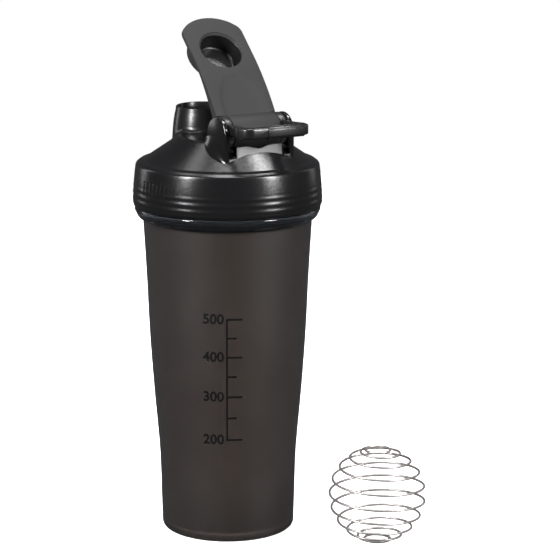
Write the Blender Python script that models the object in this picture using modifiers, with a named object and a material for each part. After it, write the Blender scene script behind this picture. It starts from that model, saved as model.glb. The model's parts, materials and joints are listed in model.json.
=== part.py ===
"""Shaker bottle: a tapered cup, a screw lid, a flip cap over the spout, a carry loop and a wire whisk ball.

The frame's origin is the middle of the cup's underside, +Z is up, the spout is towards +Y and the hinge
of the flip cap is towards -Y, with its axis along X. The whisk ball stands on the floor beside the cup.
All sizes below are in millimetres, and the objects are in metres.
"""

import math

import bmesh
import bpy
from mathutils import Matrix, Vector

MM = 0.001
TURN_STEPS = 48  # sides of a turned shape
ROUND_STEPS = 32  # sides of a small cylinder
GAP = 0.3  # between neighbouring pieces

# Cup
CUP_WALL = 1.8
CUP_FLOOR = 2.6
CUP_OUTSIDE = [  # (radius, height), from the shoulder down to the foot
    (44.2, 165.0),
    (43.2, 148.0),
    (42.5, 134.0),
    (41.2, 105.0),
    (39.2, 76.0),
    (37.3, 54.0),
    (36.2, 38.0),
    (35.5, 14.0),
]
FOOT_R = 35.1
FOOT_ROUND = 2.6
BAND_R = 48.8  # the polished shoulder band under the lid
BAND_LOW_Z = 168.3
GROOVE_Z = 171.8  # bottom of the groove between the band and the neck
BAND_TOP_Z = 174.7
NECK_R = 43.2
NECK_TOP_Z = 193.0
THREAD_R = 1.1  # half the width of a thread's ridge
THREAD_PITCH = 5.0
THREAD_TURNS = 2.0
THREAD_LOW_Z = 178.5

# Lid
SKIRT_LOW_Z = BAND_TOP_Z + GAP
SKIRT_R = 49.6
SKIRT_INNER_R = 46.0
SHOULDER_R = 48.0
SHOULDER_Z = 196.2
DOME_FOOT_R = 43.4
DOME_FOOT_Z = 199.0
DOME_SLOPE = 0.68
DOME_TOP_Z = 211.3
LID_WALL = 2.2
ROOT_Z = 192.0  # where the ears, the wall and the spout start, inside the lid
SEAL_R = 41.0
SEAL_LOW_Z = 187.0
SPOUT_Y = 24.6
SPOUT_TOP_Z = 223.8
SPOUT_R = 14.7
SPOUT_FOOT_R = 16.9
SPOUT_BORE_R = 13.3

# Hinge of the flip cap and the carry loop
HINGE_Y = -22.4
HINGE_Z = 215.9
PIN_R = 3.0
HOLE_R = PIN_R + GAP
BARREL_R = 9.2
BARREL_HALF = 13.8
RING_R = 9.0
RING_IN = BARREL_HALF + GAP
RING_OUT = 17.8
EAR_IN = RING_OUT + GAP
EAR_OUT = 20.6
EAR_R = 9.5
EAR_Y = -23.4
EAR_Z = 215.6
SEAT_R = 9.6
WALL_Y = -32.6  # front of the low wall under the loop
WALL_TOP_Z = 210.3
DIP_HALF = 7.4  # half the width of the dip in the wall's top edge
DIP_DEPTH = 1.8
SLOT_LOW_Z = 204.5

# Flip cap, as it stands open
ARM_HALF = 17.7
ARM_START = (-18.9, 225.2)  # (y, z) of the top surface where the arm leaves the hinge
ARM_BEND_ANGLE = 57.0  # slope at the hinge, in degrees
ARM_ANGLE = 43.7  # slope of the flat disc
ARM_BEND_LENGTH = 35.0
ARM_LENGTH = 61.2
ARM_THICK = 2.3
ARM_ROOT_THICK = 5.0
ARM_TAIL = 6.0  # how far the arm runs back into the barrel
RECESS_S = 38.9  # along the arm, from ARM_START to the middle of the recess
RECESS_R = 11.2
RECESS_DEPTH = 9.8
TIP_R = 24.0  # radius of the rounded tip
TIP_BACK = 1.7  # how far its centre lies behind the recess's middle
CLOSED_ANGLE = 41.3  # how far the cap turns down to close the spout
PLUG_R = 12.7
PLUG_LOW_R = 11.7
PLUG_DEPTH = 8.6
CAP_SKIRT_IN_R = 15.9  # the cap's own skirt, which closes round the outside of the spout
CAP_SKIRT_OUT_R = 17.0
CAP_SKIRT_LOW_R = 16.7
CAP_SKIRT_DEPTH = 7.0  # down from the arm's top surface
CAP_CEILING = 2.13  # the level inside the skirt that stops over the spout's rim
DRAFT = 1.0

# Carry loop, as it stands level
LOOP_LOW_Z = 216.4
LOOP_HIGH_Z = 221.9
LOOP_FRONT_Y = -49.4
LOOP_BAR = 5.2
LOOP_HALF = 20.2

# Whisk ball
BALL_X = 52.6
BALL_Y = -65.5
BALL_R = 25.75
WIRE_R = 0.65
BALL_TURNS = 9.0
BALL_LATITUDE = 75.0  # of the small end rings, in degrees
BALL_END_TURN = 0.93
WIRE_STEPS = 20  # points in one turn


def collection(name):
    made = bpy.data.collections.new(name)
    bpy.context.scene.collection.children.link(made)
    return made


def material(name, colour, roughness, metallic=0.0):
    made = bpy.data.materials.new(name)
    made.use_nodes = True
    shader = made.node_tree.nodes["Principled BSDF"]
    shader.inputs["Base Color"].default_value = (*colour, 1.0)
    shader.inputs["Roughness"].default_value = roughness
    shader.inputs["Metallic"].default_value = metallic
    return made


def new_object(name, mesh, group):
    made = bpy.data.objects.new(name, mesh)
    group.objects.link(made)
    return made


def as_cutter(obj):
    obj.hide_render = True
    obj.display_type = "WIRE"
    return obj


def turned(name, profile, group, centre=(0.0, 0.0), steps=TURN_STEPS):
    """A solid of revolution about the vertical line through centre, from (radius, height) points."""
    mesh = bpy.data.meshes.new(name)
    points = [(r * MM, 0.0, z * MM) for r, z in profile]
    mesh.from_pydata(points, [(i, i + 1) for i in range(len(points) - 1)], [])
    made = new_object(name, mesh, group)
    made.location = (centre[0] * MM, centre[1] * MM, 0.0)
    screw = made.modifiers.new("turn", "SCREW")
    screw.steps = steps
    screw.render_steps = steps
    screw.use_merge_vertices = True
    screw.merge_threshold = 0.00001
    return made


def solid_from_curve(curve_object, group):
    """The curve object's mesh with its caps welded on, as a new object; the curve goes."""
    bpy.context.view_layer.update()
    graph = bpy.context.evaluated_depsgraph_get()
    mesh = bpy.data.meshes.new_from_object(curve_object.evaluated_get(graph))
    weld = bmesh.new()
    weld.from_mesh(mesh)
    bmesh.ops.remove_doubles(weld, verts=weld.verts, dist=0.000001)
    bmesh.ops.recalc_face_normals(weld, faces=weld.faces)
    weld.to_mesh(mesh)
    weld.free()
    name = curve_object.name
    place = curve_object.matrix_world.copy()
    bpy.data.objects.remove(curve_object)
    made = new_object(name, mesh, group)
    made.name = name
    made.matrix_world = place
    return made


def prism(name, outline, thickness, group, place):
    """A flat outline of (u, v) points, thick in w about its middle; place maps u, v, w to the model."""
    curve = bpy.data.curves.new(name, "CURVE")
    curve.dimensions = "2D"
    curve.fill_mode = "BOTH"
    curve.extrude = thickness * MM / 2
    spline = curve.splines.new("POLY")
    spline.points.add(len(outline) - 1)
    for point, (u, v) in zip(spline.points, outline):
        point.co = (u * MM, v * MM, 0.0, 1.0)
    spline.use_cyclic_u = True
    made = new_object(name, curve, group)
    made.matrix_world = place
    return solid_from_curve(made, group)


def across(x):
    """Places an outline of (y, z) points in the vertical plane at x."""
    return Matrix(((0, 0, 1, x * MM), (1, 0, 0, 0), (0, 1, 0, 0), (0, 0, 0, 1)))


def level(z):
    """Places an outline of (x, y) points in the horizontal plane at z."""
    return Matrix.Translation((0, 0, z * MM))


def disc(radius, centre, steps=ROUND_STEPS):
    angles = [2 * math.pi * i / steps for i in range(steps)]
    return [(centre[0] + radius * math.cos(a), centre[1] + radius * math.sin(a)) for a in angles]


def arc(radius, centre, start, end, steps):
    """Points of an arc between two angles in degrees, both ends included."""
    points = []
    for i in range(steps + 1):
        angle = math.radians(start + (end - start) * i / steps)
        points.append((centre[0] + radius * math.cos(angle), centre[1] + radius * math.sin(angle)))
    return points


def hinge_disc(name, radius, low_x, high_x, group, steps=ROUND_STEPS):
    """A cylinder on the hinge's axis."""
    outline = disc(radius, (HINGE_Y, HINGE_Z), steps)
    return prism(name, outline, high_x - low_x, group, across((low_x + high_x) / 2))


def box(name, low, high, group):
    mesh = bpy.data.meshes.new(name)
    shape = bmesh.new()
    bmesh.ops.create_cube(shape, size=1.0)
    size = Vector(high) - Vector(low)
    middle = (Vector(high) + Vector(low)) / 2
    for vertex in shape.verts:
        vertex.co = Vector(c * s + m for c, s, m in zip(vertex.co, size, middle)) * MM
    shape.to_mesh(mesh)
    shape.free()
    return new_object(name, mesh, group)


def boolean(obj, operation, other, solver="EXACT"):
    change = obj.modifiers.new(other.name, "BOOLEAN")
    change.operation = operation
    change.solver = solver
    change.object = as_cutter(other)


def set_origin(obj, point):
    """Moves the object's origin to a point, in millimetres, and leaves its shape where it is."""
    shift = Vector(point) * MM - obj.matrix_world.translation
    obj.data.transform(Matrix.Translation(obj.matrix_world.to_3x3().inverted() @ -shift))
    obj.matrix_world = Matrix.Translation(shift) @ obj.matrix_world


def smooth(obj):
    obj.data.shade_smooth()
    obj.data.set_sharp_from_angle(angle=math.radians(35))


def helix(name, radius, low_z, group, turns=THREAD_TURNS, steps=TURN_STEPS, phase=0.0):
    """A round ridge that climbs about the bottle's axis."""
    curve = bpy.data.curves.new(name, "CURVE")
    curve.dimensions = "3D"
    curve.bevel_depth = THREAD_R * MM
    curve.bevel_resolution = 1
    curve.use_fill_caps = True
    count = int(turns * steps) + 1
    spline = curve.splines.new("POLY")
    spline.points.add(count - 1)
    for i, point in enumerate(spline.points):
        angle = phase + 2 * math.pi * i / steps
        height = low_z + THREAD_PITCH * i / steps
        point.co = (radius * MM * math.cos(angle), radius * MM * math.sin(angle), height * MM, 1.0)
    return solid_from_curve(new_object(name, curve, group), group)


def make_cup(parts, cutters):
    inner = [(r - CUP_WALL, z) for r, z in reversed(CUP_OUTSIDE)]
    foot = arc(FOOT_ROUND, (FOOT_R - FOOT_ROUND, FOOT_ROUND), 0, -90, 4)
    groove = [(BAND_R - CUP_WALL, BAND_TOP_Z), (BAND_R - CUP_WALL - 0.6, GROOVE_Z)]
    groove += [(NECK_R + 0.6, GROOVE_Z), (NECK_R, GROOVE_Z + 0.8)]
    neck_in = NECK_R - CUP_WALL
    profile = (
        [(0.0, CUP_FLOOR), (29.5, CUP_FLOOR), (32.4, 4.4)]
        + inner
        + [(neck_in, 170.5), (neck_in, NECK_TOP_Z - 0.5), (neck_in + 0.5, NECK_TOP_Z)]
        + [(NECK_R - 0.5, NECK_TOP_Z), (NECK_R, NECK_TOP_Z - 0.5)]
        + groove[::-1]
        + [(BAND_R - 0.5, BAND_TOP_Z), (BAND_R, BAND_TOP_Z - 0.6)]
        + [(48.0, 172.0), (46.8, 170.2), (44.6, BAND_LOW_Z)]
        + CUP_OUTSIDE
        + foot
        + [(0.0, 0.0)]
    )
    cup = turned("cup", profile, parts)
    boolean(cup, "UNION", helix("cup_thread", NECK_R + 0.1, THREAD_LOW_Z, cutters))
    smooth(cup)
    cup.data.materials.append(material("cup_frosted", (0.045, 0.040, 0.039), 0.42))
    return cup


def lid_outside():
    """The lid's outer shape, a closed solid of revolution."""
    top_r = DOME_FOOT_R - (DOME_TOP_Z - 1.0 - DOME_FOOT_Z) / DOME_SLOPE
    return [
        (0.0, DOME_TOP_Z),
        (top_r - 2.5, DOME_TOP_Z),
        (top_r, DOME_TOP_Z - 1.0),
        (DOME_FOOT_R, DOME_FOOT_Z),
        (45.6, DOME_FOOT_Z - 0.7),
        (SHOULDER_R - 0.8, SHOULDER_Z + 0.8),
        (SHOULDER_R, SHOULDER_Z - 0.8),
        (48.6, 192.5),
        (49.4, 182.0),
        (SKIRT_R, 177.2),
        (SKIRT_R - 0.4, SKIRT_LOW_Z + 0.3),
        (SKIRT_R - 1.0, SKIRT_LOW_Z),
        (0.0, SKIRT_LOW_Z),
    ]


def lid_inside():
    """The hollow under the lid: the dome's inside, the sealing ring and the room for the cup's neck."""
    top_r = DOME_FOOT_R - (DOME_TOP_Z - DOME_FOOT_Z) / DOME_SLOPE
    seal_in = SEAL_R - 1.4
    deck = NECK_TOP_Z + GAP
    return [
        (0.0, DOME_TOP_Z - LID_WALL),
        (top_r - 1.5, DOME_TOP_Z - LID_WALL),
        (seal_in, DOME_FOOT_Z - LID_WALL),
        (seal_in, SEAL_LOW_Z),
        (SEAL_R, SEAL_LOW_Z),
        (SEAL_R, deck),
        (SKIRT_INNER_R - 0.6, deck),
        (SKIRT_INNER_R, deck - 2.0),
        (SKIRT_INNER_R, SKIRT_LOW_Z - 2.0),
        (0.0, SKIRT_LOW_Z - 2.0),
    ]


def ear(name, side, cutters):
    outline = arc(EAR_R, (EAR_Y, EAR_Z), 0, 180, 20) + [(EAR_Y - EAR_R, ROOT_Z), (EAR_Y + EAR_R, ROOT_Z)]
    return prism(name, outline, EAR_OUT - EAR_IN, cutters, across(side * (EAR_IN + EAR_OUT) / 2))


def hinge_seat(cutters):
    """The trough under the hinge, whose lower half hangs inside the dome."""
    angle = math.degrees(math.asin((WALL_TOP_Z - HINGE_Z) / (SEAT_R + LID_WALL)))
    outline = arc(SEAT_R + LID_WALL, (HINGE_Y, HINGE_Z), 180 - angle, 360 + angle, 20)
    return prism("lid_seat", outline, 2 * EAR_OUT, cutters, across(0.0))


def wall_dip(group):
    """A cutter for the shallow round dip in the top edge of the wall in front of the hinge."""
    radius = (DIP_HALF ** 2 + DIP_DEPTH ** 2) / (2 * DIP_DEPTH)
    middle = Vector((0.0, WALL_Y - 5.0, WALL_TOP_Z - DIP_DEPTH + radius)) * MM
    place = Matrix.Translation(middle) @ Matrix.Rotation(math.radians(-90.0), 4, "X")
    return tapered("lid_dip", radius, radius, 12.0, 0.0, place, group)


def make_lid(parts, cutters):
    lid = turned("lid", lid_outside(), parts)
    wall = [(WALL_Y, ROOT_Z), (-14.0, ROOT_Z), (-14.0, WALL_TOP_Z), (WALL_Y, WALL_TOP_Z)]
    boolean(lid, "UNION", prism("lid_wall", wall, 2 * EAR_OUT, cutters, across(0.0)))
    boolean(lid, "UNION", ear("lid_ear_left", -1, cutters))
    boolean(lid, "UNION", ear("lid_ear_right", 1, cutters))
    spout = [
        (0.0, SPOUT_TOP_Z),
        (SPOUT_R - 0.7, SPOUT_TOP_Z),
        (SPOUT_R, SPOUT_TOP_Z - 0.7),
        (SPOUT_R + 0.4, 219.5),
        (SPOUT_R + 1.2, 214.5),
        (SPOUT_R + 1.6, 210.0),
        (SPOUT_FOOT_R, 204.5),
        (SPOUT_FOOT_R, ROOT_Z),
        (0.0, ROOT_Z),
    ]
    boolean(lid, "UNION", turned("lid_spout", spout, cutters, (0.0, SPOUT_Y)))
    boolean(lid, "DIFFERENCE", turned("lid_hollow", lid_inside(), cutters))
    boolean(lid, "UNION", hinge_seat(cutters))
    boolean(lid, "DIFFERENCE", hinge_disc("lid_seat_cut", SEAT_R, -EAR_IN, EAR_IN, cutters, 40))
    for side, name in ((-1, "lid_slot_left"), (1, "lid_slot_right")):
        ends = sorted((side * (BARREL_HALF - 0.2), side * EAR_IN))
        slot = box(name, (ends[0], -40.0, SLOT_LOW_Z), (ends[1], HINGE_Y, 213.0), cutters)
        boolean(lid, "DIFFERENCE", slot)
    boolean(lid, "DIFFERENCE", wall_dip(cutters))
    bore = [(0.0, 230.0), (SPOUT_BORE_R, 230.0), (SPOUT_BORE_R, 190.0), (0.0, 190.0)]
    boolean(lid, "DIFFERENCE", turned("lid_bore", bore, cutters, (0.0, SPOUT_Y)))
    boolean(lid, "DIFFERENCE", hinge_disc("lid_holes", HOLE_R, -(EAR_OUT - 0.7), EAR_OUT - 0.7, cutters))
    thread = helix("lid_thread", SKIRT_INNER_R - 0.05, THREAD_LOW_Z, cutters, phase=math.pi)
    boolean(lid, "UNION", thread)
    smooth(lid)
    lid.data.materials.append(material("lid_black", (0.012, 0.012, 0.013), 0.3))
    return lid


def arm_slope(s):
    """The slope of the arm's top surface at a length s from its start, in degrees."""
    bend = max(0.0, 1.0 - max(s, 0.0) / ARM_BEND_LENGTH)
    return ARM_ANGLE + (ARM_BEND_ANGLE - ARM_ANGLE) * bend


def arm_point(s, steps=60):
    """The (y, z) point of the arm's top surface at a length s from its start."""
    y, z = ARM_START
    for i in range(steps):
        angle = math.radians(arm_slope(s * (i + 0.5) / steps))
        y += s / steps * math.cos(angle)
        z += s / steps * math.sin(angle)
    return y, z


def arm_section():
    """The arm seen from its side: the top surface, and the underside that it thins towards."""
    lengths = [-ARM_TAIL, 0.0, 7.0, 14.0, 21.0, 28.0, 35.0, ARM_LENGTH + 0.5]
    top = [arm_point(s) for s in lengths]
    under = []
    for s, (y, z) in zip(lengths, top):
        thick = ARM_THICK + (ARM_ROOT_THICK - ARM_THICK) * max(0.0, 1.0 - max(s, 0.0) / 26.0)
        angle = math.radians(arm_slope(s))
        under.append((y + thick * math.sin(angle), z - thick * math.cos(angle)))
    return top[::-1] + under


def disc_place(s, tilt=0.0):
    """Places (x, along the arm) outlines at a length s, with w pointing up out of the arm's top."""
    y, z = arm_point(s)
    slope = math.radians(ARM_ANGLE + tilt)
    along = Vector((0, math.cos(slope), math.sin(slope)))
    out = Vector((0, -math.sin(slope), math.cos(slope)))
    place = Matrix((Vector((1, 0, 0)), along, out)).transposed().to_4x4()
    place.translation = Vector((0, y, z)) * MM
    return place


def arm_plan():
    """The arm's outline seen from above its disc, round the recess's middle."""
    corner = 2.6
    reach = math.degrees(math.acos((ARM_HALF - 1.2) / TIP_R))
    tip = arc(TIP_R, (0.0, -TIP_BACK), reach, 180 - reach, 14)
    side = ARM_HALF
    tail = -(RECESS_S + ARM_TAIL + 4.0)
    return [(side, tail), (side, tip[0][1] - corner)] + tip + [(-side, tip[0][1] - corner), (-side, tail)]


def tapered(name, top_r, low_r, top, low, place, group):
    """A tapered cylinder between two heights above a place."""
    made = turned(name, [(0.0, top), (top_r, top), (low_r, low), (0.0, low)], group, steps=40)
    made.matrix_world = place
    return made


def make_flip_cap(parts, cutters):
    cap = prism("flip_cap", arm_section(), 2 * ARM_HALF + 1.0, parts, across(0.0))
    set_origin(cap, (0.0, HINGE_Y, HINGE_Z))
    disc_at = disc_place(RECESS_S)
    plug_at = disc_place(RECESS_S, CLOSED_ANGLE - ARM_ANGLE)
    boolean(cap, "INTERSECT", prism("cap_plan", arm_plan(), 80.0, cutters, disc_at))
    plug_low = -ARM_THICK - PLUG_DEPTH
    skirt_r, skirt_low_r = CAP_SKIRT_OUT_R, CAP_SKIRT_LOW_R
    room_r = CAP_SKIRT_IN_R
    skirt = tapered("cap_skirt", skirt_r, skirt_low_r, -1.4, -CAP_SKIRT_DEPTH, plug_at, cutters)
    boolean(cap, "UNION", skirt)
    boolean(cap, "UNION", tapered("cap_core", PLUG_R, PLUG_R, -1.2, plug_low - 0.5, plug_at, cutters))
    room = tapered("cap_skirt_room", room_r, room_r, -CAP_CEILING, -20.0, plug_at, cutters)
    boolean(room, "DIFFERENCE", tapered("cap_plug", PLUG_R, PLUG_LOW_R, -0.8, plug_low, plug_at, cutters))
    boolean(cap, "DIFFERENCE", room, "MANIFOLD")
    for side, name in ((-1, "cap_clear_left"), (1, "cap_clear_right")):
        ends = sorted((side * BARREL_HALF, side * (ARM_HALF + 3.0)))
        boolean(cap, "DIFFERENCE", hinge_disc(name, RING_R + 0.5, ends[0], ends[1], cutters, 40), "MANIFOLD")
    barrel = hinge_disc("cap_barrel", BARREL_R, -BARREL_HALF, BARREL_HALF, cutters, 40)
    boolean(cap, "UNION", barrel, "MANIFOLD")
    pin_end = EAR_OUT - 1.0
    boolean(cap, "UNION", hinge_disc("cap_pins", PIN_R, -pin_end, pin_end, cutters), "MANIFOLD")
    recess = tapered("cap_recess", RECESS_R, RECESS_R - DRAFT, 1.0, -RECESS_DEPTH, plug_at, cutters)
    boolean(cap, "DIFFERENCE", recess, "MANIFOLD")
    smooth(cap)
    cap.data.materials.append(material("cap_grey", (0.085, 0.083, 0.082), 0.5))
    return cap


def loop_outline():
    """The loop seen from above: two arms that spread a little towards the rounded front bar."""
    outer = [(RING_OUT, HINGE_Y - 4.2), (RING_OUT, -37.0), (LOOP_HALF - 0.4, -41.5)]
    outer += arc(4.2, (LOOP_HALF - 4.2, LOOP_FRONT_Y + 4.4), 0, -80, 6)
    outer += [(13.5, LOOP_FRONT_Y)]
    inner = [(RING_IN, HINGE_Y - 4.2), (RING_IN, -36.5), (RING_IN + 0.5, -39.5)]
    inner += [(13.2, LOOP_FRONT_Y + LOOP_BAR + 0.9), (11.5, LOOP_FRONT_Y + LOOP_BAR)]
    half = inner[::-1] + outer
    return half + [(-x, y) for x, y in reversed(half)]


def make_carry_loop(parts, cutters):
    middle = (LOOP_LOW_Z + LOOP_HIGH_Z) / 2
    loop = prism("carry_loop", loop_outline(), LOOP_HIGH_Z - LOOP_LOW_Z, parts, level(middle))
    set_origin(loop, (0.0, HINGE_Y, HINGE_Z))
    for side, name in ((-1, "loop_ring_left"), (1, "loop_ring_right")):
        ends = sorted((side * RING_IN, side * RING_OUT))
        boolean(loop, "UNION", hinge_disc(name, RING_R, ends[0], ends[1], cutters))
    boolean(loop, "DIFFERENCE", hinge_disc("loop_holes", HOLE_R, -25.0, 25.0, cutters))
    smooth(loop)
    loop.data.materials.append(material("loop_black", (0.013, 0.013, 0.014), 0.35))
    return loop


def ball_points():
    """The wire's middle line: a left-handed helix on a sphere, ending in a flat ring at each pole."""
    radius = BALL_R - WIRE_R
    ring = int(BALL_END_TURN * WIRE_STEPS)
    body = int(BALL_TURNS * WIRE_STEPS)
    points = []
    for i in range(-ring, body + ring + 1):
        u = 1.0 - 2.0 * min(max(i / body, 0.0), 1.0)
        latitude = math.radians(BALL_LATITUDE) * (0.8 * u + 0.2 * math.sin(math.pi * u / 2))
        angle = 2 * math.pi * i / WIRE_STEPS
        reach = radius * math.cos(latitude)
        points.append((reach * math.cos(angle), reach * math.sin(angle), radius * math.sin(latitude)))
    return points


def make_whisk_ball(parts):
    curve = bpy.data.curves.new("whisk_ball", "CURVE")
    curve.dimensions = "3D"
    curve.bevel_depth = WIRE_R * MM
    curve.bevel_resolution = 2
    curve.use_fill_caps = True
    points = ball_points()
    spline = curve.splines.new("POLY")
    spline.points.add(len(points) - 1)
    for point, (x, y, z) in zip(spline.points, points):
        point.co = (x * MM, y * MM, z * MM, 1.0)
    ball = new_object("whisk_ball", curve, parts)
    height = (BALL_R - WIRE_R) * math.sin(math.radians(BALL_LATITUDE)) + WIRE_R
    ball.location = Vector((BALL_X, BALL_Y, height)) * MM
    ball = solid_from_curve(ball, parts)
    smooth(ball)
    ball.data.materials.append(material("wire_steel", (0.62, 0.62, 0.63), 0.18, 1.0))
    return ball


def main():
    for obj in list(bpy.data.objects):
        bpy.data.objects.remove(obj)
    parts = collection("shaker_bottle")
    cutters = collection("cutters")
    make_cup(parts, cutters)
    make_lid(parts, cutters)
    make_flip_cap(parts, cutters)
    make_carry_loop(parts, cutters)
    make_whisk_ball(parts)


main()
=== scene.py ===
"""Looks of the shaker bottle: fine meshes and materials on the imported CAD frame, with a pale floor,
soft lights and a camera.

Sizes are in millimetres and objects in metres, in the CAD's own frame: +Z is up, the spout is towards +Y
and the hinge lies along X.
"""

import json
import math

import bmesh
import bpy
from mathutils import Matrix, Vector

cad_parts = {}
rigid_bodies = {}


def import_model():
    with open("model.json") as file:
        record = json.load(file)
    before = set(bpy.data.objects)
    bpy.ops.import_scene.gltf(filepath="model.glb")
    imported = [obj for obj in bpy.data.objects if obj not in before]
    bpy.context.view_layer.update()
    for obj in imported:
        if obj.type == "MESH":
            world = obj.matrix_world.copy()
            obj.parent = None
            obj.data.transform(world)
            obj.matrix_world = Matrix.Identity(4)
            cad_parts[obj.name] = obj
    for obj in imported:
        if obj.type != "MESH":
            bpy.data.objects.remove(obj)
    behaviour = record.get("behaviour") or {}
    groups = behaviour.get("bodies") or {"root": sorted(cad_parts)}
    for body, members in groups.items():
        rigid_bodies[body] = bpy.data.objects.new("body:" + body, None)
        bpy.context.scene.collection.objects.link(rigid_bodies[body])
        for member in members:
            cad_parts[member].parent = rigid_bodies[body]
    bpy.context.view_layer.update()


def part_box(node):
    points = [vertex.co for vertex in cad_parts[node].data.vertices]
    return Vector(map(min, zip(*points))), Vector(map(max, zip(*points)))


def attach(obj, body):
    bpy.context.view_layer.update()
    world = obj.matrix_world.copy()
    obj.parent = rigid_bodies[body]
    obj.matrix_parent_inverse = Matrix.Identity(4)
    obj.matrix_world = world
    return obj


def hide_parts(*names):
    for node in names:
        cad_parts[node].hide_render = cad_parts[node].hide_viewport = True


MM = 0.001
TURN = 192  # sides of the large turned shapes
SMALL_TURN = 96

# Cup
CUP_WALL = 1.8
CUP_FLOOR = 2.6
CUP_SIDE = [  # (radius, height) of the frosted wall, from the band down to the foot
    (44.2, 165.0),
    (43.2, 148.0),
    (42.5, 134.0),
    (41.2, 105.0),
    (39.2, 76.0),
    (37.3, 54.0),
    (36.2, 38.0),
    (35.5, 14.0),
    (35.15, 3.0),
]
FROST_TOP_Z = 168.0  # above it the cup is polished
GROOVE_Z = 171.8
BAND_R = 48.8
BAND_TOP_Z = 174.7
NECK_R = 43.2
NECK_TOP_Z = 193.0
THREAD_R = 1.1
THREAD_LOW_Z = 178.5
THREAD_TURNS = 2.0
THREAD_PITCH = 5.0

# Filling scale printed on the cup
SCALE_FIRST = 200  # ml
SCALE_LAST = 500
SCALE_STEP = 50
SCALE_NUMBERED = 100
SCALE_NUMERAL = 7.4
SCALE_LINE = 0.9  # width of the upright line
SCALE_MARK = 0.5  # half the height of a mark
SCALE_LONG = 7.5
SCALE_SHORT = 4.5
SCALE_SPINE_PIECES = 40
PRINT_PROUD = 0.05
FILL_SLICE = 0.25  # height of the slices that the cup is measured in

# Lid
SKIRT_LOW_Z = 175.0
SKIRT_R = 49.6
SKIRT_INNER_R = 46.0
SHOULDER_R = 48.0
SHOULDER_Z = 196.2
COLLAR_TOP_Z = 195.0
COLLAR_HEIGHT = 17.2
ROLL_HEIGHT = 0.06
ROLL_PITCH = 3.4
DOME_FOOT_R = 43.4
DOME_FOOT_Z = 199.0
DOME_SLOPE = 0.68
DOME_TOP_Z = 211.3
LID_WALL = 2.2
SEAL_R = 41.0
SEAL_WALL = 1.4
RIM_GAP = 0.3  # between the cup's rim and the lid
SEAL_LOW_Z = 187.0
SPOUT_Y = 24.6
SPOUT_TOP_Z = 223.8
SPOUT_R = 14.7
SPOUT_FOOT_R = 16.9
SPOUT_BORE_R = 13.3
SPOUT_BLEND_R = 3.2
SPOUT_LIP_Z = 221.6  # where the rolled lip ends and the plain wall starts
GRIP_PATCHES = (-78.0, 102.0)  # degrees round the collar
GRIP_RIBS = 9
GRIP_PITCH = 3.4  # degrees
GRIP_LOW_Z = 183.6
GRIP_LENGTH = 7.6

# Hinge
HINGE_Y = -22.4
HINGE_Z = 215.9
PIN_R = 3.0
HOLE_R = 3.3
BARREL_R = 9.2
BARREL_HALF = 13.8
RING_R = 9.0
RING_IN = 14.1
RING_OUT = 17.8
EAR_IN = 18.1
EAR_OUT = 20.6
EAR_R = 9.5
EAR_Y = -23.4
EAR_Z = 215.6
EAR_ROOT_Z = 197.0
SEAT_R = 9.6
WALL_Y = -32.6
WALL_TOP_Z = 210.3
WALL_LEAN = 7.0  # degrees that the wall's front leans back
DIP_HALF = 7.4  # of the dip in the wall's top
DIP_DEPTH = 1.5
SLOT_LOW_Z = 204.5

# Flip cap, as it stands open
ARM_HALF = 17.7
ARM_START = (-18.9, 225.2)
ARM_BEND_ANGLE = 57.0
ARM_ANGLE = 43.7
ARM_BEND_LENGTH = 35.0
ARM_THICK = 2.3
ARM_ROOT_THICK = 5.0
ARM_TAIL = 6.0
ARM_THIN_AT = 26.0  # length along the arm where it reaches its least thickness
DISH_DEPTH = 0.7  # of the shallow thumb hollow in the arm
RECESS_S = 38.9
RECESS_R = 11.2
RECESS_DEPTH = 9.2
TIP_R = 24.0
TIP_BACK = 1.7
CLOSED_ANGLE = 41.3
PLUG_R = 12.7
PLUG_LOW_R = 11.7
PLUG_DEPTH = 8.6
CAP_SKIRT_IN_R = 15.9
CAP_SKIRT_OUT_R = 17.0
CAP_SKIRT_LOW_R = 16.7
CAP_SKIRT_DEPTH = 7.0
CAP_CEILING = 2.13

# Carry loop, as it stands level
LOOP_LOW_Z = 216.4
LOOP_HIGH_Z = 221.9
LOOP_FRONT_Y = -49.4
LOOP_BAR = 5.2
LOOP_HALF = 20.2
BLOCK_LEFT = -5.0  # where the bar's thicker stretch starts

# Whisk ball
BALL_R = 25.75
WIRE_R = 0.65
BALL_TURNS = 9.0
BALL_LATITUDE = 75.0
BALL_END_TURN = 0.93
WIRE_STEPS = 60

# Camera
VIEW_ANGLE = 30.5  # degrees from the hinge's front towards -X
CAMERA_AWAY = 1253.9
CAMERA_HIGH = 409.5
CAMERA_PITCH = 12.40
CAMERA_YAW = 1.26
CAMERA_ROLL = 0.18
CAMERA_LENS = 156.3

# Stage
FLOOR_HALF = 900.0
FLOOR_LOW_Z = -20.0
FLOOR_TOP_Z = -0.1
LIGHT_AIM_Z = 0.16  # metres


# ---------------------------------------------------------------- shapes


def fillet(points, steps=5):
    """A polyline of (u, v) through (u, v, radius) corners, each rounded by an arc of its radius."""
    line = []
    last = len(points) - 1
    for i, (u, v, radius) in enumerate(points):
        if radius <= 0 or i in (0, last):
            line.append((u, v))
            continue
        here = Vector((u, v))
        back = Vector(points[i - 1][:2]) - here
        ahead = Vector(points[i + 1][:2]) - here
        half = back.angle(ahead) / 2
        reach = min(radius / math.tan(half), back.length * 0.49, ahead.length * 0.49)
        arc_r = reach * math.tan(half)
        middle = here + (back.normalized() + ahead.normalized()).normalized() * (arc_r / math.sin(half))
        start = here + back.normalized() * reach - middle
        end = here + ahead.normalized() * reach - middle
        sweep = start.angle_signed(end)
        for k in range(steps + 1):
            turn = -sweep * k / steps
            spoke = Matrix.Rotation(turn, 2) @ start
            line.append(tuple(middle + spoke))
    return line


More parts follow.
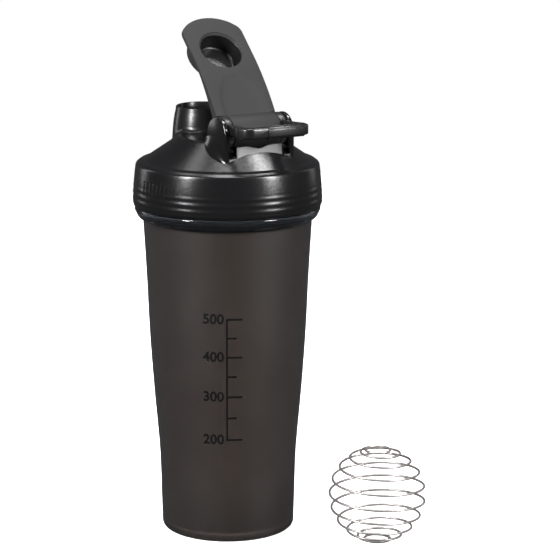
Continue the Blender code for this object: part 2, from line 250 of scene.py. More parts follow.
def curve_through(points, steps=6):
    """A smooth polyline of (u, v) through the points (Catmull-Rom)."""
    ends = [points[0]] + list(points) + [points[-1]]
    line = []
    for i in range(len(points) - 1):
        a, b, c, d = (Vector(p) for p in ends[i:i + 4])
        for k in range(steps):
            t = k / steps
            line.append(tuple(0.5 * (2 * b + (c - a) * t + (2 * a - 5 * b + 4 * c - d) * t ** 2
                                     + (3 * b - a - 3 * c + d) * t ** 3)))
    line.append(tuple(points[-1]))
    return line


def new_object(name, mesh):
    made = bpy.data.objects.new(name, mesh)
    bpy.context.scene.collection.objects.link(made)
    return made


def mesh_object(shape, name, outward=True):
    """Makes an object of a bmesh, with its faces turned outward if asked, and frees the bmesh."""
    if outward:
        bmesh.ops.recalc_face_normals(shape, faces=shape.faces)
    mesh = bpy.data.meshes.new(name)
    shape.to_mesh(mesh)
    shape.free()
    return new_object(name, mesh)


def finish(obj, material, angle):
    """Smooth shading up to an angle in degrees, and a material."""
    smooth(obj, angle)
    obj.data.materials.append(material)
    return obj


def smooth(obj, angle):
    obj.data.shade_smooth()
    obj.data.set_sharp_from_angle(angle=math.radians(angle))
    return obj


def bridge(shape, one, two):
    """Joins two rings of vertices with a belt of faces."""
    for k in range(len(one)):
        m = (k + 1) % len(one)
        shape.faces.new((one[k], one[m], two[m], two[k]))


def lathe(name, profile, steps=TURN, centre=(0.0, 0.0)):
    """A mesh turned about a vertical line from (radius, height) points. A point at radius 0 is one vertex."""
    shape = bmesh.new()
    rings = []
    for r, z in profile:
        if r < 1e-6:
            rings.append([shape.verts.new((centre[0] * MM, centre[1] * MM, z * MM))])
            continue
        ring = []
        for i in range(steps):
            angle = 2 * math.pi * i / steps
            ring.append(shape.verts.new(((centre[0] + r * math.cos(angle)) * MM,
                                         (centre[1] + r * math.sin(angle)) * MM, z * MM)))
        rings.append(ring)
    for one, two in zip(rings, rings[1:]):
        for i in range(steps):
            j = (i + 1) % steps
            corners = [one[i % len(one)], two[i % len(two)], two[j % len(two)], one[j % len(one)]]
            kept = [v for k, v in enumerate(corners) if v not in corners[:k]]
            if len(kept) > 2:
                shape.faces.new(kept)
    return mesh_object(shape, name)


def prism(name, outline, low, high, place=None):
    """A closed solid of a flat (u, v) outline between the heights low and high in w."""
    shape = bmesh.new()
    bottom = [shape.verts.new((u * MM, v * MM, low * MM)) for u, v in outline]
    top = [shape.verts.new((u * MM, v * MM, high * MM)) for u, v in outline]
    shape.faces.new(bottom[::-1])
    shape.faces.new(top)
    for i in range(len(outline)):
        j = (i + 1) % len(outline)
        shape.faces.new((bottom[i], bottom[j], top[j], top[i]))
    made = mesh_object(shape, name)
    if place is not None:
        made.data.transform(place)
    return made


ACROSS = Matrix(((0, 0, 1, 0), (1, 0, 0, 0), (0, 1, 0, 0), (0, 0, 0, 1)))  # (y, z) outlines, thick in x
FRONT = Matrix(((1, 0, 0, 0), (0, 0, 1, 0), (0, 1, 0, 0), (0, 0, 0, 1)))  # (x, z) outlines, thick in y


def arc(radius, centre, start, end, steps):
    points = []
    for i in range(steps + 1):
        angle = math.radians(start + (end - start) * i / steps)
        points.append((centre[0] + radius * math.cos(angle), centre[1] + radius * math.sin(angle)))
    return points


def hinge_disc(name, radius, low_x, high_x, steps=SMALL_TURN):
    outline = arc(radius, (HINGE_Y, HINGE_Z), 0, 360 - 360 / steps, steps - 1)
    return prism(name, outline, low_x, high_x, ACROSS)


def bevel(obj, width, segments=3, angle=40):
    change = obj.modifiers.new("bevel", "BEVEL")
    change.width = width * MM
    change.segments = segments
    change.limit_method = "ANGLE"
    change.angle_limit = math.radians(angle)
    return apply(obj)


def apply(obj):
    """Turns the object's modifiers into its mesh."""
    bpy.context.view_layer.update()
    graph = bpy.context.evaluated_depsgraph_get()
    mesh = bpy.data.meshes.new_from_object(obj.evaluated_get(graph))
    obj.modifiers.clear()
    obj.data = mesh
    return obj


def boolean(obj, operation, other):
    """Cuts or joins other into obj, and removes other."""
    change = obj.modifiers.new("boolean", "BOOLEAN")
    change.operation = operation
    change.solver = "EXACT"
    change.object = other
    apply(obj)
    bpy.data.objects.remove(other)


# ---------------------------------------------------------------- materials


def plastic(name, colour, roughness, grain=0.0, grain_size=0.3, wave=0.0, tint=0.15, specular=0.5):
    """Moulded plastic, with a little variation of colour and gloss. grain and wave are heights in mm."""
    made = bpy.data.materials.new(name)
    made.use_nodes = True
    nodes, links = made.node_tree.nodes, made.node_tree.links
    shader = nodes["Principled BSDF"]
    shader.inputs["Specular IOR Level"].default_value = specular
    place = nodes.new("ShaderNodeTexCoord")
    mottle = nodes.new("ShaderNodeTexNoise")
    mottle.inputs["Scale"].default_value = 60.0
    mottle.inputs["Detail"].default_value = 3.0
    links.new(place.outputs["Object"], mottle.inputs["Vector"])
    shade = nodes.new("ShaderNodeMix")
    shade.data_type = "RGBA"
    shade.inputs["A"].default_value = (*[c * (1 - tint) for c in colour], 1.0)
    shade.inputs["B"].default_value = (*[c * (1 + tint) for c in colour], 1.0)
    links.new(mottle.outputs["Fac"], shade.inputs["Factor"])
    links.new(shade.outputs["Result"], shader.inputs["Base Color"])
    gloss = nodes.new("ShaderNodeMapRange")
    gloss.inputs["To Min"].default_value = roughness * 0.9
    gloss.inputs["To Max"].default_value = roughness * 1.1
    links.new(mottle.outputs["Fac"], gloss.inputs["Value"])
    links.new(gloss.outputs["Result"], shader.inputs["Roughness"])
    last = None
    if wave:
        last = add_bump(made, last, 45.0, wave, place)
    if grain:
        last = add_bump(made, last, 1000.0 / grain_size, grain, place)
    if last is not None:
        links.new(last.outputs["Normal"], shader.inputs["Normal"])
    return made


def add_bump(made, before, scale, height, place):
    """Adds a noise bump of a height in mm after another bump node."""
    nodes, links = made.node_tree.nodes, made.node_tree.links
    noise = nodes.new("ShaderNodeTexNoise")
    noise.inputs["Scale"].default_value = scale
    noise.inputs["Detail"].default_value = 2.0
    links.new(place.outputs["Object"], noise.inputs["Vector"])
    bump = nodes.new("ShaderNodeBump")
    bump.inputs["Distance"].default_value = height * MM
    links.new(noise.outputs["Fac"], bump.inputs["Height"])
    if before is not None:
        links.new(before.outputs["Normal"], bump.inputs["Normal"])
    return bump


def smoky(name, roughness, grain, colour, edge):
    """The cup's tinted translucent plastic, frosted or polished, with painted shade: darker and bluer where
    seen edge on.
    """
    made = plastic(name, colour, roughness, grain=grain, grain_size=0.25, tint=0.05)
    nodes, links = made.node_tree.nodes, made.node_tree.links
    shader = nodes["Principled BSDF"]
    shade = shader.inputs["Base Color"].links[0].from_socket
    # Painted shade: the base colour turns to edge, darker and bluer, where the surface is seen edge on.
    facing = nodes.new("ShaderNodeLayerWeight")
    painted_edge_shade = nodes.new("ShaderNodeMix")
    painted_edge_shade.data_type = "RGBA"
    painted_edge_shade.inputs["B"].default_value = (*edge, 1.0)
    links.new(facing.outputs["Facing"], painted_edge_shade.inputs["Factor"])
    links.new(shade, painted_edge_shade.inputs["A"])
    links.new(painted_edge_shade.outputs["Result"], shader.inputs["Base Color"])
    shader.inputs["Transmission Weight"].default_value = 0.9
    shader.inputs["IOR"].default_value = 1.49
    return made


def steel(name):
    made = bpy.data.materials.new(name)
    made.use_nodes = True
    nodes, links = made.node_tree.nodes, made.node_tree.links
    shader = nodes["Principled BSDF"]
    shader.inputs["Metallic"].default_value = 0.8
    shader.inputs["Base Color"].default_value = (0.36, 0.335, 0.328, 1.0)
    place = nodes.new("ShaderNodeTexCoord")
    drawn = nodes.new("ShaderNodeTexNoise")
    drawn.inputs["Scale"].default_value = 900.0
    drawn.inputs["Detail"].default_value = 2.0
    links.new(place.outputs["Object"], drawn.inputs["Vector"])
    gloss = nodes.new("ShaderNodeMapRange")
    gloss.inputs["To Min"].default_value = 0.34
    gloss.inputs["To Max"].default_value = 0.46
    links.new(drawn.outputs["Fac"], gloss.inputs["Value"])
    links.new(gloss.outputs["Result"], shader.inputs["Roughness"])
    return made


# ---------------------------------------------------------------- cup


def cup_profile():
    """The cup's section: up the inside, over the rim, and down the outside to the middle of the underside."""
    side = curve_through(CUP_SIDE[:-1])
    inner = [(r - CUP_WALL, z) for r, z in reversed(side)]
    neck_in = NECK_R - CUP_WALL
    inside = [(0.0, CUP_FLOOR), (26.0, CUP_FLOOR)]
    inside += fillet([(26.0, CUP_FLOOR, 0), (32.9, CUP_FLOOR, 4.0), inner[0] + (0,)], 8)
    rim = fillet([(neck_in, 170.5, 0), (neck_in, NECK_TOP_Z, 0.8), (NECK_R, NECK_TOP_Z, 0.8),
                  (NECK_R, 173.0, 0)])
    groove = fillet([(NECK_R, 173.0, 0), (NECK_R + 0.3, GROOVE_Z, 0.6), (46.4, GROOVE_Z, 0.6),
                     (47.2, BAND_TOP_Z, 0.5), (BAND_R, BAND_TOP_Z, 1.7), (48.7, 172.8, 0.9),
                     (46.9, 169.0, 3.0), (44.35, FROST_TOP_Z, 1.6), (44.25, 166.6, 0)], 6)
    foot = fillet([side[-1] + (0,), (35.05, 0.0, 2.8), (30.0, 0.0, 0)], 8)
    return inside + inner[1:] + rim + groove[1:] + side[1:] + foot[1:] + [(0.0, 0.0)]


def make_cup():
    cup = lathe("cup_body", cup_profile())
    # The last colour of each is painted shade, for where the cup is seen edge on.
    frosted = smoky("cup_frosted", 0.42, 0.006, (0.104, 0.082, 0.073), (0.014, 0.018, 0.026))
    polished = smoky("cup_polished", 0.05, 0.0, (0.05, 0.055, 0.062), (0.03, 0.033, 0.038))
    finish(cup, frosted, 40)
    cup.data.materials.append(polished)
    for face in cup.data.polygons:
        if face.center.z > FROST_TOP_Z * MM:
            face.material_index = 1
    thread = tube("cup_thread", spiral(NECK_R), THREAD_R)
    thread.data.materials.append(polished)
    for piece in (cup, thread):
        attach(piece, "cup")
        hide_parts("cup")


def spiral(radius, phase=0.0, steps=72):
    """The middle line of a screw thread."""
    points = []
    for i in range(int(THREAD_TURNS * steps) + 1):
        angle = phase + 2 * math.pi * i / steps
        z = THREAD_LOW_Z + THREAD_PITCH * i / steps
        points.append((radius * math.cos(angle), radius * math.sin(angle), z))
    return points


def tube(name, points, radius, sides=12, centre=(0.0, 0.0, 0.0)):
    """A round rod along (x, y, z) points, with closed ends."""
    shape = bmesh.new()
    path = [Vector(p) + Vector(centre) for p in points]
    rings = []
    for here, before, after in zip(path, path[:1] + path[:-1], path[1:] + path[-1:]):
        way = (after - before).normalized()
        side = way.cross(Vector((0, 0, 1))).normalized()
        rise = side.cross(way)
        ring = []
        for k in range(sides):
            angle = 2 * math.pi * k / sides
            spot = here + radius * (side * math.cos(angle) + rise * math.sin(angle))
            ring.append(shape.verts.new(spot * MM))
        rings.append(ring)
    for one, two in zip(rings, rings[1:]):
        bridge(shape, one, two)
    shape.faces.new(rings[0][::-1])
    shape.faces.new(rings[-1])
    return smooth(mesh_object(shape, name), 50)


def cup_r(z):
    """The cup's outer radius at a height."""
    side = curve_through(CUP_SIDE[:-1])
    for (r1, z1), (r2, z2) in zip(side, side[1:]):
        if z2 <= z <= z1:
            return r2 + (r1 - r2) * (z - z2) / (z1 - z2)
    return side[-1][0]


def wrap_on_cup(obj, middle_angle):
    """Bends a flat (across, height) mesh round the cup, just proud of its surface."""
    for vertex in obj.data.vertices:
        across, z, proud = (c / MM for c in vertex.co)
        r = cup_r(z) + PRINT_PROUD * (1.0 if proud > 0 else -2.0)
        angle = math.radians(middle_angle) + across / cup_r(z)
        vertex.co = Vector((r * math.cos(angle), r * math.sin(angle), z)) * MM


def flat_bar(shape, left, right, low, high):
    """Adds a thin bar to the print, in columns narrow enough to bend round the cup."""
    columns = max(1, round(right - left))
    rims = []
    for i in range(columns + 1):
        u = left + (right - left) * i / columns
        section = ((low, 0), (high, 0), (high, 1), (low, 1))
        rims.append([shape.verts.new((u * MM, v * MM, w * MM)) for v, w in section])
    for one, two in zip(rims, rims[1:]):
        bridge(shape, one, two)
    shape.faces.new(rims[0][::-1])
    shape.faces.new(rims[-1])


def numeral(value, right, middle_z):
    """A filling level's number as a flat mesh that ends at right."""
    words = bpy.data.curves.new("numeral", "FONT")
    words.body = str(value)
    words.size = SCALE_NUMERAL * MM
    words.align_x = "RIGHT"
    words.align_y = "CENTER"
    words.resolution_u = 4
    words.offset = 0.16 * MM
    words.extrude = 0.5 * MM
    text = bpy.data.objects.new("numeral", words)
    bpy.context.scene.collection.objects.link(text)
    bpy.context.view_layer.update()
    graph = bpy.context.evaluated_depsgraph_get()
    mesh = bpy.data.meshes.new_from_object(text.evaluated_get(graph))
    bpy.data.objects.remove(text)
    mesh.transform(Matrix.Translation(Vector((right, middle_z, 0.5)) * MM))
    return mesh


def fill_z(millilitres):
    """The height that a volume of liquid reaches in the cup."""
    z, held = CUP_FLOOR, 0.0
    while held < millilitres * 1000.0:
        held += math.pi * (cup_r(z) - CUP_WALL) ** 2 * FILL_SLICE
        z += FILL_SLICE
    return z


def make_print():
    """A plain filling scale, printed in black on the cup."""
    ink = plastic("print_black", (0.004, 0.004, 0.004), 0.5, grain=0.004, grain_size=0.2, specular=0.12)
    shape = bmesh.new()
    for volume in range(SCALE_FIRST, SCALE_LAST + 1, SCALE_STEP):
        z = fill_z(volume)
        numbered = volume % SCALE_NUMBERED == 0
        flat_bar(shape, -SCALE_LINE, SCALE_LONG if numbered else SCALE_SHORT, z - SCALE_MARK, z + SCALE_MARK)
        if numbered:
            shape.from_mesh(numeral(volume, -2.0, z))
    low, high = fill_z(SCALE_FIRST), fill_z(SCALE_LAST)
    spine = (high - low) / SCALE_SPINE_PIECES
    for k in range(SCALE_SPINE_PIECES):
        flat_bar(shape, -SCALE_LINE, 0.0, low + k * spine, low + (k + 1) * spine)
    bmesh.ops.remove_doubles(shape, verts=shape.verts, dist=0.001 * MM)
    bmesh.ops.triangulate(shape, faces=shape.faces)
    marks = mesh_object(shape, "cup_scale", outward=False)
    slice_mesh(marks, 0, range(-14, 12))
    wrap_on_cup(marks, -90.0 - VIEW_ANGLE)
    marks.data.materials.append(ink)
    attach(marks, "cup")


# ---------------------------------------------------------------- lid


def dome_z(r):
    """The height of the lid's top surface at a radius."""
    return min(DOME_TOP_Z, DOME_FOOT_Z + (DOME_FOOT_R - r) * DOME_SLOPE)


def collar_r(z):
    """The collar's outer radius at a height, without its rolls."""
    return SHOULDER_R + 0.25 + 1.35 * (1 - (1 - (COLLAR_TOP_Z - z) / COLLAR_HEIGHT) ** 1.6)


def collar_side():
    """The collar's outer side from the shoulder down, with its shallow rolls."""
    line = []
    for k in range(61):
        z = COLLAR_TOP_Z - COLLAR_HEIGHT * k / 60
        fade = min(1.0, max(0.0, (188.0 - z) / 3.0))
        roll = ROLL_HEIGHT * math.sin(2 * math.pi * (z - 178.0) / ROLL_PITCH) * fade
        line.append((collar_r(z) + roll, z))
    return line


def lid_profile():
    """The lid's section: from the middle of the top out and down to the rim, and back up the inside."""
    top_r = DOME_FOOT_R - (DOME_TOP_Z - DOME_FOOT_Z) / DOME_SLOPE
    seal_in = SEAL_R - SEAL_WALL
    deck = NECK_TOP_Z + RIM_GAP
    top = fillet([(4.0, DOME_TOP_Z, 0), (top_r, DOME_TOP_Z, 6.0), (DOME_FOOT_R, DOME_FOOT_Z, 0.8),
                  (46.0, DOME_FOOT_Z - 0.75, 1.0), (SHOULDER_R, SHOULDER_Z + 0.6, 2.2),
                  (SHOULDER_R + 0.25, COLLAR_TOP_Z, 0)], 8)
    low = fillet([(SKIRT_R, 177.8, 0), (SKIRT_R, 176.6, 0.6), (SKIRT_R - 0.5, SKIRT_LOW_Z, 0.8),
                  (47.4, SKIRT_LOW_Z, 0.4), (47.0, 176.5, 0.3), (SKIRT_INNER_R, 177.0, 0.3),
                  (SKIRT_INNER_R, deck, 1.5), (SEAL_R, deck, 0.3), (SEAL_R - 0.2, SEAL_LOW_Z, 0.5),
                  (seal_in, SEAL_LOW_Z, 0.5), (seal_in, DOME_FOOT_Z - LID_WALL, 1.0),
                  (top_r - 1.5, DOME_TOP_Z - LID_WALL, 3.0), (0.0, DOME_TOP_Z - LID_WALL, 0)], 5)
    return [(0.0, DOME_TOP_Z)] + top[:-1] + collar_side() + low[1:]


def make_shell(satin):
    """The lid's turned body, open under the spout and cut out for the hinge."""
    shell = lathe("lid_shell", lid_profile())
    bore = lathe("bore_cutter", [(0.0, 230.0), (SPOUT_BORE_R, 230.0), (SPOUT_BORE_R, 190.0), (0.0, 190.0)],
                 SMALL_TURN, (0.0, SPOUT_Y))
    boolean(shell, "DIFFERENCE", bore)
    boolean(shell, "DIFFERENCE", hinge_disc("seat_cutter", SEAT_R, -EAR_IN, EAR_IN))
    return finish(shell, satin, 30)


def make_trough(satin):
    """The seat under the hinge: a half pipe that hangs inside the dome."""
    angle = math.degrees(math.asin((WALL_TOP_Z - HINGE_Z) / (SEAT_R + LID_WALL)))
    outer = arc(SEAT_R + LID_WALL, (HINGE_Y, HINGE_Z), 196 - angle, 350 + angle, 48)
    inner = arc(SEAT_R, (HINGE_Y, HINGE_Z), 350 + angle, 196 - angle, 48)
    trough = prism("lid_trough", outer + inner, -EAR_IN - 0.4, EAR_IN + 0.4, ACROSS)
    return finish(trough, satin, 40)


def make_wall(satin):
    """The low wall in front of the hinge, with its slots for the loop's arms and the dip in its top."""
    slot = BARREL_HALF - 0.2
    outline = [(-EAR_IN - 0.3, 198.0), (EAR_IN + 0.3, 198.0), (EAR_IN + 0.3, SLOT_LOW_Z), (slot, SLOT_LOW_Z)]
    outline += [(slot, WALL_TOP_Z), (DIP_HALF + 1.2, WALL_TOP_Z + 0.1)]
    for k in range(13):
        t = 1 - 2 * k / 12
        outline.append((DIP_HALF * t, WALL_TOP_Z - DIP_DEPTH * (0.5 + 0.5 * math.cos(math.pi * t))))
    outline += [(-DIP_HALF - 1.2, WALL_TOP_Z + 0.1), (-slot, WALL_TOP_Z), (-slot, SLOT_LOW_Z)]
    outline += [(-EAR_IN - 0.3, SLOT_LOW_Z)]
    wall = prism("lid_wall", outline, WALL_Y, -24.0, FRONT)
    for vertex in wall.data.vertices:
        if vertex.co.y < (WALL_Y + 1) * MM:
            vertex.co.y += (vertex.co.z - SLOT_LOW_Z * MM) * math.tan(math.radians(WALL_LEAN))
    bevel(wall, 0.35, 3, 50)
    boolean(wall, "DIFFERENCE", hinge_disc("seat_cutter", SEAT_R, -EAR_IN - 2, EAR_IN + 2))
    return finish(wall, satin, 30)


def make_ear(side, gloss):
    """A hinge ear: a rounded plate with softened edges and a blind hole for the trunnion."""
    outline = arc(EAR_R, (EAR_Y, EAR_Z), 0, 180, 48)
    outline += [(EAR_Y - EAR_R, EAR_ROOT_Z), (EAR_Y + EAR_R, EAR_ROOT_Z)]
    name = "lid_ear_left" if side < 0 else "lid_ear_right"
    low, high = sorted((side * EAR_IN, side * EAR_OUT))
    ear = prism(name, outline, low, high, ACROSS)
    bevel(ear, 0.9, 5, 50)
    hole = hinge_disc("hole_cutter", HOLE_R, *sorted((side * (EAR_IN - 2), side * (EAR_OUT - 0.7))), 48)
    boolean(ear, "DIFFERENCE", hole)
    return finish(ear, gloss, 30)


def spout_r(z):
    """The spout's outer radius at a height: nearly straight at the lip, wider towards the dome."""
    drop = SPOUT_TOP_Z - 1.2 - z
    return SPOUT_R + (SPOUT_FOOT_R - SPOUT_R) * (1 - math.exp(-max(drop, 0.0) / 8.5)) / (1 - math.exp(-2.2))


def dome_at_spout(r, angle):
    """The height of the dome at a distance and an angle from the spout's middle."""
    return dome_z(math.hypot(r * math.cos(angle), SPOUT_Y + r * math.sin(angle)))


def make_spout(satin):
    """The drinking spout: a round tube with a rolled lip, whose foot blends into the sloping dome."""
    steps = SMALL_TURN
    lip = fillet([(SPOUT_BORE_R, 190.0, 0), (SPOUT_BORE_R, SPOUT_TOP_Z - 2.4, 1.0),
                  (SPOUT_BORE_R + 0.2, SPOUT_TOP_Z, 0.5), (SPOUT_R + 0.05, SPOUT_TOP_Z, 0.7),
                  (spout_r(SPOUT_LIP_Z), SPOUT_LIP_Z, 0)], 6)
    rows = [[point] * steps for point in lip]
    wall_steps = 12
    for k in range(1, wall_steps + 9):
        row = []
        for i in range(steps):
            angle = 2 * math.pi * i / steps
            foot = dome_at_spout(SPOUT_FOOT_R, angle)
            end_z = foot + SPOUT_BLEND_R
            if k <= wall_steps:
                z = SPOUT_LIP_Z + (end_z - SPOUT_LIP_Z) * k / wall_steps
                row.append((spout_r(z), z))
                continue
            turn = math.pi / 2 * (k - wall_steps) / 8
            r = spout_r(end_z) + SPOUT_BLEND_R * (1 - math.cos(turn))
            row.append((r, dome_at_spout(r, angle) + (end_z - foot) * (1 - math.sin(turn)) - 0.05))
        rows.append(row)
    shape = bmesh.new()
    rings = []
    for row in rows:
        ring = []
        for i, (r, z) in enumerate(row):
            angle = 2 * math.pi * i / steps
            spot = Vector((r * math.cos(angle), SPOUT_Y + r * math.sin(angle), z))
            ring.append(shape.verts.new(spot * MM))
        rings.append(ring)
    for one, two in zip(rings, rings[1:] + rings[:1]):
        bridge(shape, one, two)
    return finish(mesh_object(shape, "lid_spout"), satin, 45)


def make_gusset(side, gloss):
    """The flare at an ear's foot, which sweeps from the ear's outer face out onto the dome."""
    columns, rows = 40, 12
    front, back = EAR_Y - EAR_R + 0.1, EAR_Y + EAR_R + 1.5
    shape = bmesh.new()
    face, hidden = [], []
    for i in range(columns + 1):
        t = i / columns
        y = front + (back - front) * t
        reach = 0.1 + 4.4 * math.sin(math.pi * t) ** 0.7
        rise = 1.2 + 6.0 * math.sin(math.pi * t) ** 0.8
        column = []
        for k in range(rows + 1):
            turn = math.pi / 2 * k / rows
            x = EAR_OUT - 0.05 + reach * (1 - math.cos(turn))
            base = dome_z(math.hypot(x, y))
            top = dome_z(math.hypot(EAR_OUT, y)) + rise
            z = base - 0.1 + (top - base) * (1 - math.sin(turn))
            column.append(shape.verts.new((side * x * MM, y * MM, z * MM)))
        face.append(column)
        buried_x = side * (EAR_OUT - 0.8) * MM
        hidden.append([shape.verts.new((buried_x, y * MM, v.co.z - 0.6 * MM)) for v in column])
    for i in range(columns):
        for k in range(rows):
            shape.faces.new((face[i][k], face[i + 1][k], face[i + 1][k + 1], face[i][k + 1]))
            shape.faces.new((hidden[i][k], hidden[i][k + 1], hidden[i + 1][k + 1], hidden[i + 1][k]))
        shape.faces.new((face[i][0], hidden[i][0], hidden[i + 1][0], face[i + 1][0]))
        shape.faces.new((face[i][rows], face[i + 1][rows], hidden[i + 1][rows], hidden[i][rows]))
    for i in (0, columns):
        for k in range(rows):
            shape.faces.new((face[i][k], face[i][k + 1], hidden[i][k + 1], hidden[i][k]))
    name = "lid_gusset_left" if side < 0 else "lid_gusset_right"
    return finish(mesh_object(shape, name), gloss, 50)


def make_grip(satin):
    """Two patches of short upright ribs on the collar, joined into one piece."""
    made = []
    for patch in GRIP_PATCHES:
        for k in range(GRIP_RIBS):
            angle = math.radians(patch - 90.0 + (k - GRIP_RIBS // 2) * GRIP_PITCH)
            path = []
            for m in range(9):
                z = GRIP_LOW_Z + GRIP_LENGTH * m / 8
                r = collar_r(z) - 0.15
                path.append((r * math.cos(angle), r * math.sin(angle), z))
            made.append(tube(f"rib_{patch}_{k}", path, 0.5, 10))
    return finish(join("lid_grip", made), satin, 50)


def join(name, objects):
    """Makes one object of the meshes of several, and removes them."""
    shape = bmesh.new()
    for obj in objects:
        shape.from_mesh(obj.data)
        bpy.data.objects.remove(obj)
    return mesh_object(shape, name, outward=False)


def make_lid():
    satin = plastic("lid_satin", (0.005, 0.005, 0.0055), 0.225, grain=0.03, grain_size=0.35,
                    specular=0.42)
    gloss = plastic("lid_gloss", (0.005, 0.005, 0.0055), 0.15, wave=0.05)
    spout_satin = plastic("lid_spout_satin", (0.006, 0.006, 0.0065), 0.27, wave=0.05, specular=0.4)
    # Painted light: the low wall gets a lighter copy of the lid's black plastic; its rougher satin is real.
    wall_lit_satin = plastic("lid_wall_lit_satin", (0.012, 0.012, 0.0125), 0.38, grain=0.03, grain_size=0.5,
                     specular=0.42)
    thread = tube("lid_thread", spiral(SKIRT_INNER_R - 0.05, math.pi), THREAD_R)
    thread.data.materials.append(satin)
    pieces = [make_shell(satin), make_trough(satin), make_wall(wall_lit_satin)]
    pieces += [make_ear(-1, gloss), make_ear(1, gloss), make_gusset(-1, gloss), make_gusset(1, gloss)]
    pieces += [make_spout(spout_satin), make_grip(satin), thread]
    for piece in pieces:
        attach(piece, "lid")
        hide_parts("lid")


# ---------------------------------------------------------------- flip cap


def arm_slope(s):
    """The slope of the arm's top surface at a length s from its start, in degrees."""
    bend = max(0.0, 1.0 - max(s, 0.0) / ARM_BEND_LENGTH)
    return ARM_ANGLE + (ARM_BEND_ANGLE - ARM_ANGLE) * bend


def arm_point(s, steps=40):
    """The (y, z) point of the arm's top surface at a length s from its start."""
    y, z = ARM_START
    for i in range(steps):
        angle = math.radians(arm_slope(s * (i + 0.5) / steps))
        y += s / steps * math.cos(angle)
        z += s / steps * math.sin(angle)
    return y, z


def disc_place(tilt=0.0):
    """Places shapes made about the recess's middle, with +Z out of the arm's top."""
    y, z = arm_point(RECESS_S)
    slope = math.radians(ARM_ANGLE + tilt)
    along = Vector((0, math.cos(slope), math.sin(slope)))
    out = Vector((0, -math.sin(slope), math.cos(slope)))
    place = Matrix((Vector((1, 0, 0)), along, out)).transposed().to_4x4()
    place.translation = Vector((0, y, z)) * MM
    return place


def arm_outline():
    """The arm seen from above, as (x, length along the arm)."""
    middle = RECESS_S - TIP_BACK
    reach = math.degrees(math.acos((ARM_HALF - 0.4) / TIP_R))
    tip = arc(TIP_R, (0.0, middle), reach, 90, 24)
    corner = fillet([(ARM_HALF, 20.0, 0), (ARM_HALF, tip[0][1] - 0.4, 7.0), tip[7] + (0,)], 8)
    right = [(ARM_HALF, -ARM_TAIL)] + corner + tip[8:24]
    return right + [(0.0, middle + TIP_R)] + [(-x, s) for x, s in reversed(right)]


def bend_arm(obj):
    """Takes the flat arm, with x across, y along and z through it, to its bent shape."""
    for vertex in obj.data.vertices:
        x, s, w = (c / MM for c in vertex.co)
        thick = 1.0 + (ARM_ROOT_THICK / ARM_THICK - 1.0) * max(0.0, 1.0 - max(s, 0.0) / ARM_THIN_AT)
        dish = 0.0
        if w > -ARM_THICK / 2:
            reach = (x / 12.5) ** 2 + (max(s - 4.0, 0.0) / 19.0) ** 2
            dish = DISH_DEPTH * max(0.0, 1.0 - reach ** 2) ** 0.5
        y, z = arm_point(s)
        angle = math.radians(arm_slope(s))
        depth = w * thick - dish
        vertex.co = Vector((x, y - depth * math.sin(angle), z + depth * math.cos(angle))) * MM


def slice_mesh(obj, axis, places):
    """Cuts the mesh's faces along planes across an axis, so that it can bend there."""
    shape = bmesh.new()
    shape.from_mesh(obj.data)
    normal = Vector([1.0 if k == axis else 0.0 for k in range(3)])
    for place in places:
        bmesh.ops.bisect_plane(shape, geom=shape.verts[:] + shape.edges[:] + shape.faces[:],
                               plane_co=normal * place * MM, plane_no=normal, dist=1e-7)
    shape.to_mesh(obj.data)
    shape.free()


